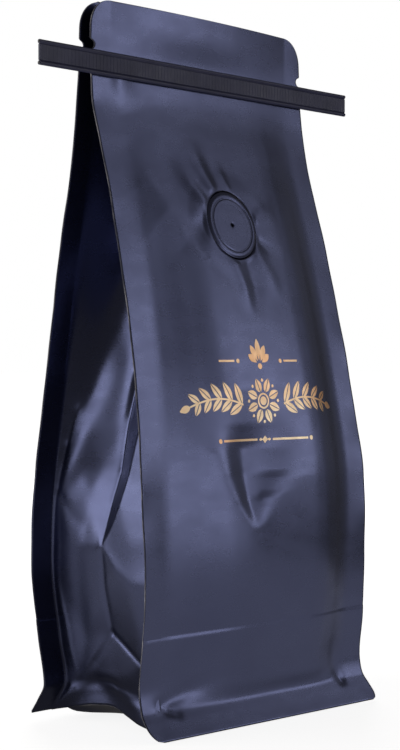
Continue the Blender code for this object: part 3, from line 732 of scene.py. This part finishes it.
def make_tie(materials, wire_material):
    """The ribbed plastic band with a bead over each wire, and the wires' cut ends."""
    bead = TIE_WIDTH / 2 - TIE_BEAD_RADIUS
    half_band = TIE_BAND_THICKNESS / 2
    band_end = bead - TIE_BEAD_RADIUS - 0.2
    neck_y, neck_z = half_band - 0.22, band_end + 0.12
    band = np.linspace(-band_end, band_end, 13)
    # The outline round the band as (y, z, share of the ribs)
    outline = [(-half_band, z, 1.0) for z in band]
    for side in (1, -1):
        outline.append((-side * neck_y, side * neck_z, 0.0))
        for turn in np.linspace(radians(205), radians(-25), 13):
            y, z = TIE_BEAD_RADIUS * cos(turn), bead + TIE_BEAD_RADIUS * sin(turn)
            outline.append((side * y, side * z, 0.0))
        outline.append((side * neck_y, side * neck_z, 0.0))
        if side == 1:
            outline += [(half_band, z, 1.0) for z in -band]
    y, z, ribbed = np.array(outline + outline[:1]).T
    x = spaced((-TIE_LENGTH / 2, TIE_LENGTH / 2, 0.2))
    # Ribs that are deeper in places, on a band that waves a little
    rib = RIB_HEIGHT * np.cos(x * 2 * pi / RIB_PITCH) * (0.75 + 0.25 * np.sin(x / 9.0 + 1.0))
    uneven = 0.04 * np.sin(x / 4.3) + 0.05 * np.sin(x / 11.0 + 2.0)
    ys = y * (1 + rib[:, None] * ribbed / half_band * 0.5) + uneven[:, None]
    mesh = mesh_from_grid("tin_tie_band", tie_place(x[:, None], ys, z))
    weld(mesh)
    close_ends(mesh)
    tie = add_piece("tin_tie_band", mesh, materials, thickness=0)
    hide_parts("tin_tie")

    turn = np.linspace(0, 2 * pi, 17)
    for side, name in ((1, "upper"), (-1, "lower")):
        reach = TIE_LENGTH / 2 + TIE_WIRE_PROUD
        stations = np.array([-reach, -reach, -reach + 0.12, reach - 0.12, reach, reach])[:, None]
        radii = TIE_WIRE_RADIUS * np.array([0.01, 0.75, 1, 1, 0.75, 0.01])[:, None]
        points = tie_place(stations, radii * np.cos(turn), radii * np.sin(turn) + side * bead)
        mesh = mesh_from_grid(f"tie_wire_{name}", points)
        weld(mesh)
        add_piece(f"tie_wire_{name}", mesh, [wire_material], thickness=0)


def make_tape(material):
    """The strip of tape that holds the tie to the front panel."""
    x, z = np.meshgrid(np.linspace(-TAPE_HALF, TAPE_HALF, 41), np.linspace(-TAPE_RISE, TAPE_RISE, 5))
    film = front_surface(x, TIE_HEIGHT + z) - TAPE_BITE
    band_back = float(curve(FRONT_Y, TIE_HEIGHT)) - TIE_STAND + TIE_BAND_THICKNESS / 2
    front = np.minimum(band_back + TAPE_BITE, film - 0.05)
    glued = place(x, film, TIE_HEIGHT + z)
    outer = place(x, front, TIE_HEIGHT + z)
    points = np.concatenate((glued[::-1], outer, glued[-1:]), 0)
    mesh = mesh_from_grid("tie_tape", points)
    weld(mesh)
    close_ends(mesh)
    add_piece("tie_tape", mesh, [material], thickness=0)


# ---------------- foil ornament
def blade(x, height, turn, length, width, split=0.0, fullness=0.85):
    """A leaf or petal from its foot, as grids of (x, height): two halves if it is split."""
    along = np.linspace(0, 1, 25)
    half = width / 2 * np.sin(pi * along**fullness) ** 0.8
    grids = []
    for side in ((-1, 1) if split else (0,)):
        inner = np.minimum(split / 2, half) if side else -half
        across = np.linspace(0, 1, 5)[:, None]
        reach = inner + (half - inner) * across
        v = reach * (side or 1)
        u = along * length
        grids.append((x + u * cos(turn) - v * sin(turn), height + u * sin(turn) + v * cos(turn)))
    return grids


def ribbon(points, width):
    """A strip of one width along a line of (x, height) points."""
    line = np.array(points, float)
    way = np.gradient(line, axis=0)
    way /= np.hypot(way[:, 0], way[:, 1])[:, None]
    across = np.linspace(-0.5, 0.5, 3)[:, None] * width
    return [(line[:, 0] - way[:, 1] * across, line[:, 1] + way[:, 0] * across)]


def rule(side, start, length, points, height, width):
    """A level line that runs out from the ornament's middle."""
    steps = np.linspace(0, length, points)
    return ribbon([(ORNAMENT_X + side * (start + step), height) for step in steps], width)


def disc(x, height, radius, hole=0.0, corners=32):
    """A dot, a ring, or a diamond where there are four corners."""
    turn = np.linspace(0, 2 * pi, corners + 1)
    reach = np.linspace(hole, radius, 5)[:, None]
    return [(x + reach * np.cos(turn), height + reach * np.sin(turn))]


def spray(side):
    """One curved stem with leaf pairs that shorten outwards and a bud at its end."""
    t = np.linspace(0, 1, 41)
    x = SPRAY_START + (SPRAY_REACH - SPRAY_START) * t
    height = ROSETTE_HEIGHT - 1.2 + 3.4 * np.sin(pi * (0.12 + 0.8 * t)) - 1.2
    grids = ribbon(np.stack((ORNAMENT_X + side * x, height), 1), 0.62)
    slope = np.gradient(height, x)
    for leaf in range(SPRAY_LEAVES):
        share = 0.04 + 0.80 * leaf / (SPRAY_LEAVES - 1)
        at = int(share * 40)
        for flank, length in ((1, 7.8 - 0.6 * leaf), (-1, 6.8 - 0.5 * leaf)):
            turn = np.arctan(slope[at]) + flank * radians(48)
            turn = turn if side > 0 else pi - turn
            foot = (ORNAMENT_X + side * x[at], height[at])
            grids += blade(*foot, turn, length, 2.9 - 0.12 * leaf, split=0.3)
    turn = np.arctan(slope[-1])
    grids += blade(ORNAMENT_X + side * x[-1], height[-1], turn if side > 0 else pi - turn, 4.6, 2.4)
    return grids


def make_ornament(material):
    """A rosette between two sprays, a crest of drops over it and a ruled line under it."""
    grids = disc(ORNAMENT_X, ROSETTE_HEIGHT, 1.5) + disc(ORNAMENT_X, ROSETTE_HEIGHT, 2.7, 2.05)
    for petal in range(8):
        turn = radians(22.5 + 45 * petal)
        foot = (ORNAMENT_X + 3.1 * cos(turn), ROSETTE_HEIGHT + 3.1 * sin(turn))
        grids += blade(*foot, turn, 5.0, 3.0, split=0.32)
        turn += radians(22.5)
        grids += disc(ORNAMENT_X + 7.0 * cos(turn), ROSETTE_HEIGHT + 7.0 * sin(turn), 0.55, corners=16)
    grids += spray(1) + spray(-1)
    for drop, length in ((-2, 4.6), (-1, 6.0), (0, 7.4), (1, 6.0), (2, 4.6)):
        turn = radians(90 - 27 * drop)
        foot = (ORNAMENT_X + 1.6 * cos(turn), CREST_HEIGHT + 1.6 * sin(turn))
        grids += blade(*foot, turn, length, 2.4, fullness=1.25)
    grids += disc(ORNAMENT_X, CREST_HEIGHT - 0.3, 1.0, corners=16)
    for side in (-1, 1):
        grids += disc(ORNAMENT_X + side * 10.5, CREST_HEIGHT + 1.5, 0.75, corners=16)
        grids += rule(side, 12.2, 7, 15, CREST_HEIGHT + 1.5, 0.7)
        grids += rule(side, 3.4, RULE_HALF - 3.4, 31, RULE_HEIGHT, 0.75)
        grids += disc(ORNAMENT_X + side * (RULE_HALF + 1.6), RULE_HEIGHT, 0.8, corners=16)
        grids += blade(ORNAMENT_X + side * 2.6, RULE_HEIGHT, 0 if side < 0 else pi, 1.6, 0.9)
    grids += disc(ORNAMENT_X, RULE_HEIGHT, 1.25, corners=4)

    points, faces, count = [], [], 0
    for x, height in grids:
        x, height = np.broadcast_arrays(x, height)
        y = front_surface(x, height) - FOIL_LIFT
        points.append(place(x, y, height).reshape(-1, 3))
        index = np.arange(x.size).reshape(x.shape) + count
        count += x.size
        faces.append(quads_of(index).reshape(-1, 4))
    mesh = mesh_from_arrays("foil_ornament", np.concatenate(points), np.concatenate(faces))
    add_piece("foil_ornament", mesh, [material], thickness=0)


# ---------------- materials
def new_material(name, colour, roughness, metallic=0.0, tone=None, gloss=None, relief=()):
    """A material whose tone and gloss follow (scale, detail, stops, stretch) noise, with bumps as relief."""
    material = bpy.data.materials.new(name)
    material.use_nodes = True
    tree = material.node_tree
    shader = tree.nodes["Principled BSDF"]
    shader.inputs["Base Color"].default_value = (*colour, 1.0)
    shader.inputs["Roughness"].default_value = roughness
    shader.inputs["Metallic"].default_value = metallic
    for socket, field in (("Base Color", tone), ("Roughness", gloss)):
        if field:
            scale, detail, stops, *stretch = field
            tree.links.new(ramp(tree, noise(tree, scale, detail, *stretch), stops), shader.inputs[socket])
    bumps(tree, shader, relief)
    return material


def noise(tree, scale, detail, stretch=(1, 1, 1)):
    """A noise field over the bag's own millimetres, the same on all its sheets."""
    coordinates = tree.nodes.new("ShaderNodeTexCoord")
    mapping = tree.nodes.new("ShaderNodeMapping")
    mapping.inputs["Scale"].default_value = stretch
    texture = tree.nodes.new("ShaderNodeTexNoise")
    texture.inputs["Scale"].default_value = scale
    texture.inputs["Detail"].default_value = detail
    tree.links.new(coordinates.outputs["Object"], mapping.inputs["Vector"])
    tree.links.new(mapping.outputs["Vector"], texture.inputs["Vector"])
    return texture.outputs["Fac"]


def ramp(tree, value, stops):
    """Colours, or greys, between (place, value) stops."""
    node = tree.nodes.new("ShaderNodeValToRGB")
    elements = node.color_ramp.elements
    while len(elements) < len(stops):
        elements.new(0.5)
    for element, (place_at, colour) in zip(elements, stops):
        element.position = place_at
        element.color = (*colour, 1.0) if isinstance(colour, tuple) else (colour, colour, colour, 1.0)
    tree.links.new(value, node.inputs["Fac"])
    return node.outputs["Color"]


def bumps(tree, shader, relief):
    """A chain of bump nodes over (scale, detail, height in millimetres, stretch) noise."""
    previous = None
    for scale, detail, height, *stretch in relief:
        bump = tree.nodes.new("ShaderNodeBump")
        bump.inputs["Strength"].default_value = 1.0
        bump.inputs["Distance"].default_value = height * MM
        tree.links.new(noise(tree, scale, detail, *stretch), bump.inputs["Height"])
        if previous:
            tree.links.new(previous, bump.inputs["Normal"])
        previous = bump.outputs["Normal"]
    if previous:
        tree.links.new(previous, shader.inputs["Normal"])


def film_material():
    """Satin navy laminate with metal in it, slightly uneven in tone and gloss."""
    tone = (38, 3, [(0.3, FILM_DEEP), (0.7, FILM_COLOUR)])
    gloss = (90, 4, [(0.3, FILM_GLOSS[0]), (0.7, FILM_GLOSS[1])], (1, 1, 2.2))
    relief = [(48, 2, 0.12, (1, 1, 0.7)), (1500, 2, 0.006, (0.5, 0.5, 2.0))]
    return new_material("navy_film", FILM_COLOUR, 0.36, FILM_METAL, tone, gloss, relief)


def edge_material():
    """Cut edges of the film, pale in places: partly the laminate core's own colour, partly a painted
    highlight where light catches the edge.
    """
    # The pale stops paint a highlight along the cut edges on top of the core's own pale grey.
    tone = (160, 3, [(0.38, (0.12, 0.12, 0.16)), (0.54, (0.34, 0.33, 0.38)), (0.68, (0.66, 0.64, 0.68))])
    return new_material("film_cut_edge", (0.30, 0.29, 0.34), 0.5, tone=tone)


def tie_material():
    """Black plastic of the tie, rubbed duller in places."""
    tone = (120, 3, [(0.3, (0.050, 0.052, 0.112)), (0.7, (0.066, 0.068, 0.146))])
    gloss = (260, 3, [(0.3, 0.28), (0.7, 0.40)])
    material = new_material("tie_plastic", (0.058, 0.060, 0.130), 0.36, 0.0, tone, gloss, [(900, 2, 0.01)])
    shader = material.node_tree.nodes["Principled BSDF"]
    shader.inputs["Specular IOR Level"].default_value = 0.32
    return material


def wire_end_material():
    """Sheared steel of the wires' ends."""
    tone = (3000, 2, [(0.3, (0.16, 0.16, 0.17)), (0.7, (0.42, 0.41, 0.40))])
    return new_material("wire_end", (0.35, 0.35, 0.36), 0.4, 1.0, tone)


def tape_material():
    """Clear glue tape, dulled by its own fine bubbles."""
    tone = (700, 3, [(0.35, (0.16, 0.16, 0.18)), (0.65, (0.34, 0.34, 0.36))])
    return new_material("tie_tape", (0.30, 0.30, 0.31), 0.4, tone=tone)


def foil_material():
    """Stamped metal foil that turns from pale gold to copper across the ornament."""
    tone = (34, 2, [(0.36, FOIL_COPPER), (0.62, FOIL_PALE)])
    gloss = (500, 3, [(0.3, 0.32), (0.7, 0.44)])
    return new_material("stamped_foil", FOIL_PALE, 0.4, 1.0, tone, gloss, [(1400, 2, 0.006)])


# ---------------- stage
def make_camera():
    """The camera that sees the bag as it stands, with its left side nearer."""
    data = bpy.data.cameras.new("camera")
    data.sensor_width = CAMERA_SENSOR
    data.lens = CAMERA_LENS
    data.clip_start = 0.01
    camera = bpy.data.objects.new("camera", data)
    bpy.context.scene.collection.objects.link(camera)
    camera.location = CAMERA_PLACE
    level = cos(CAMERA_DIP)
    forward = Vector((sin(CAMERA_HEADING) * level, cos(CAMERA_HEADING) * level, -sin(CAMERA_DIP)))
    camera.rotation_euler = forward.to_track_quat("-Z", "Y").to_euler()
    bpy.context.scene.camera = camera


def softbox(name, bearing, elevation, distance, size, radiance):
    """A soft area light that looks at the bag's middle. Bearing is from the front, towards the right."""
    data = bpy.data.lights.new(name, "AREA")
    data.shape = "RECTANGLE"
    data.size, data.size_y = size
    data.energy = radiance * pi * size[0] * size[1]
    light = bpy.data.objects.new(name, data)
    bpy.context.scene.collection.objects.link(light)
    target = Vector(LIGHT_AIM)
    a, e = radians(bearing), radians(elevation)
    light.location = target + distance * Vector((sin(a) * cos(e), -cos(a) * cos(e), sin(e)))
    light.rotation_euler = (target - light.location).to_track_quat("-Z", "Y").to_euler()
    light.visible_camera = False
    return light


def make_floor():
    """A white sweep: it takes the bag's soft shadow, and turns even white a little way off."""
    corners = [(FLOOR_HALF * x, FLOOR_HALF * y, 0) for x, y in ((-1, -1), (1, -1), (1, 1), (-1, 1))]
    mesh = bpy.data.meshes.new("floor")
    mesh.from_pydata(corners, [], [(0, 1, 2, 3)])
    floor = bpy.data.objects.new("floor", mesh)
    floor.location.z = -FLOOR_DROP
    bpy.context.scene.collection.objects.link(floor)
    material = new_material("floor", (0.85, 0.85, 0.86), 0.7)
    tree = material.node_tree
    shader = tree.nodes["Principled BSDF"]
    coordinates = tree.nodes.new("ShaderNodeTexCoord")
    length = tree.nodes.new("ShaderNodeVectorMath")
    length.operation = "LENGTH"
    reach = tree.nodes.new("ShaderNodeMapRange")
    for socket, value in (("From Min", 0.10), ("From Max", 0.45), ("To Min", 0.86), ("To Max", 1.0)):
        reach.inputs[socket].default_value = value
    tree.links.new(coordinates.outputs["Object"], length.inputs[0])
    tree.links.new(length.outputs["Value"], reach.inputs["Value"])
    tree.links.new(reach.outputs["Result"], shader.inputs["Emission Strength"])
    shader.inputs["Emission Color"].default_value = (1, 1, 1, 1)
    mesh.materials.append(material)
    floor.visible_glossy = False
    floor.visible_diffuse = False


def make_world():
    """White behind the bag, and dim as a light."""
    world = bpy.data.worlds.new("studio")
    bpy.context.scene.world = world
    world.use_nodes = True
    tree = world.node_tree
    tree.nodes.clear()
    output = tree.nodes.new("ShaderNodeOutputWorld")
    mix = tree.nodes.new("ShaderNodeMixShader")
    path = tree.nodes.new("ShaderNodeLightPath")
    tree.links.new(path.outputs["Is Camera Ray"], mix.inputs[0])
    for socket, colour, strength in ((1, (1.0, 0.94, 0.84, 1.0), WORLD_LIGHT), (2, (1, 1, 1, 1), 1.0)):
        background = tree.nodes.new("ShaderNodeBackground")
        background.inputs["Color"].default_value = colour
        background.inputs["Strength"].default_value = strength
        tree.links.new(background.outputs[0], mix.inputs[socket])
    tree.links.new(mix.outputs[0], output.inputs[0])


def floor_card(name, middle, size, radiance):
    """Light that a pale floor throws up: an area light that lies just over it, square to the bag."""
    light = softbox(name, 0, 0, 1.0, size, radiance)
    light.location = (*middle, 0.002)
    light.rotation_euler = (pi, 0, 0)


def make_lights():
    """A bank for the folded side, a tall key for the front, and softer lights round them."""
    softbox("left_bank", -123, 8.5, 1.2, (0.85, 0.50), 2.15)
    softbox("key", 48, 11.5, 4.0, (0.90, 1.24), 1.68)
    softbox("upper", 57, 29, 4.0, (0.95, 0.90), 0.62)
    softbox("front", 27, 0.5, 1.2, (0.38, 0.38), 1.5)
    softbox("fill", 50, 12, 1.5, (2.2, 0.8), 0.13)
    softbox("far_right", 140, 10, 1.2, (0.5, 0.5), 2.0)
    floor_card("floor_front", (0.09, -0.24), (0.40, 0.40), 0.34)
    floor_card("floor_left", (-0.31, 0.10), (0.40, 0.44), 0.36)


def dress_bag():
    """Make every piece of the bag."""
    film = film_material()
    edge = edge_material()
    around = make_front([film, edge])
    make_valve(around, [film, edge])
    make_back([film, edge])
    field = gusset_field()
    make_gusset(-1, "gusset_left", ("front_left", "back_left"), field, [film, edge])
    make_gusset(1, "gusset_right", ("front_right", "back_right"), field, [film, edge])
    make_base(field, [film, edge])
    make_tie([tie_material()], wire_end_material())
    make_tape(tape_material())
    make_ornament(foil_material())


make_camera()
make_world()
make_floor()
make_lights()
bpy.context.scene.view_settings.view_transform = "Standard"
dress_bag()
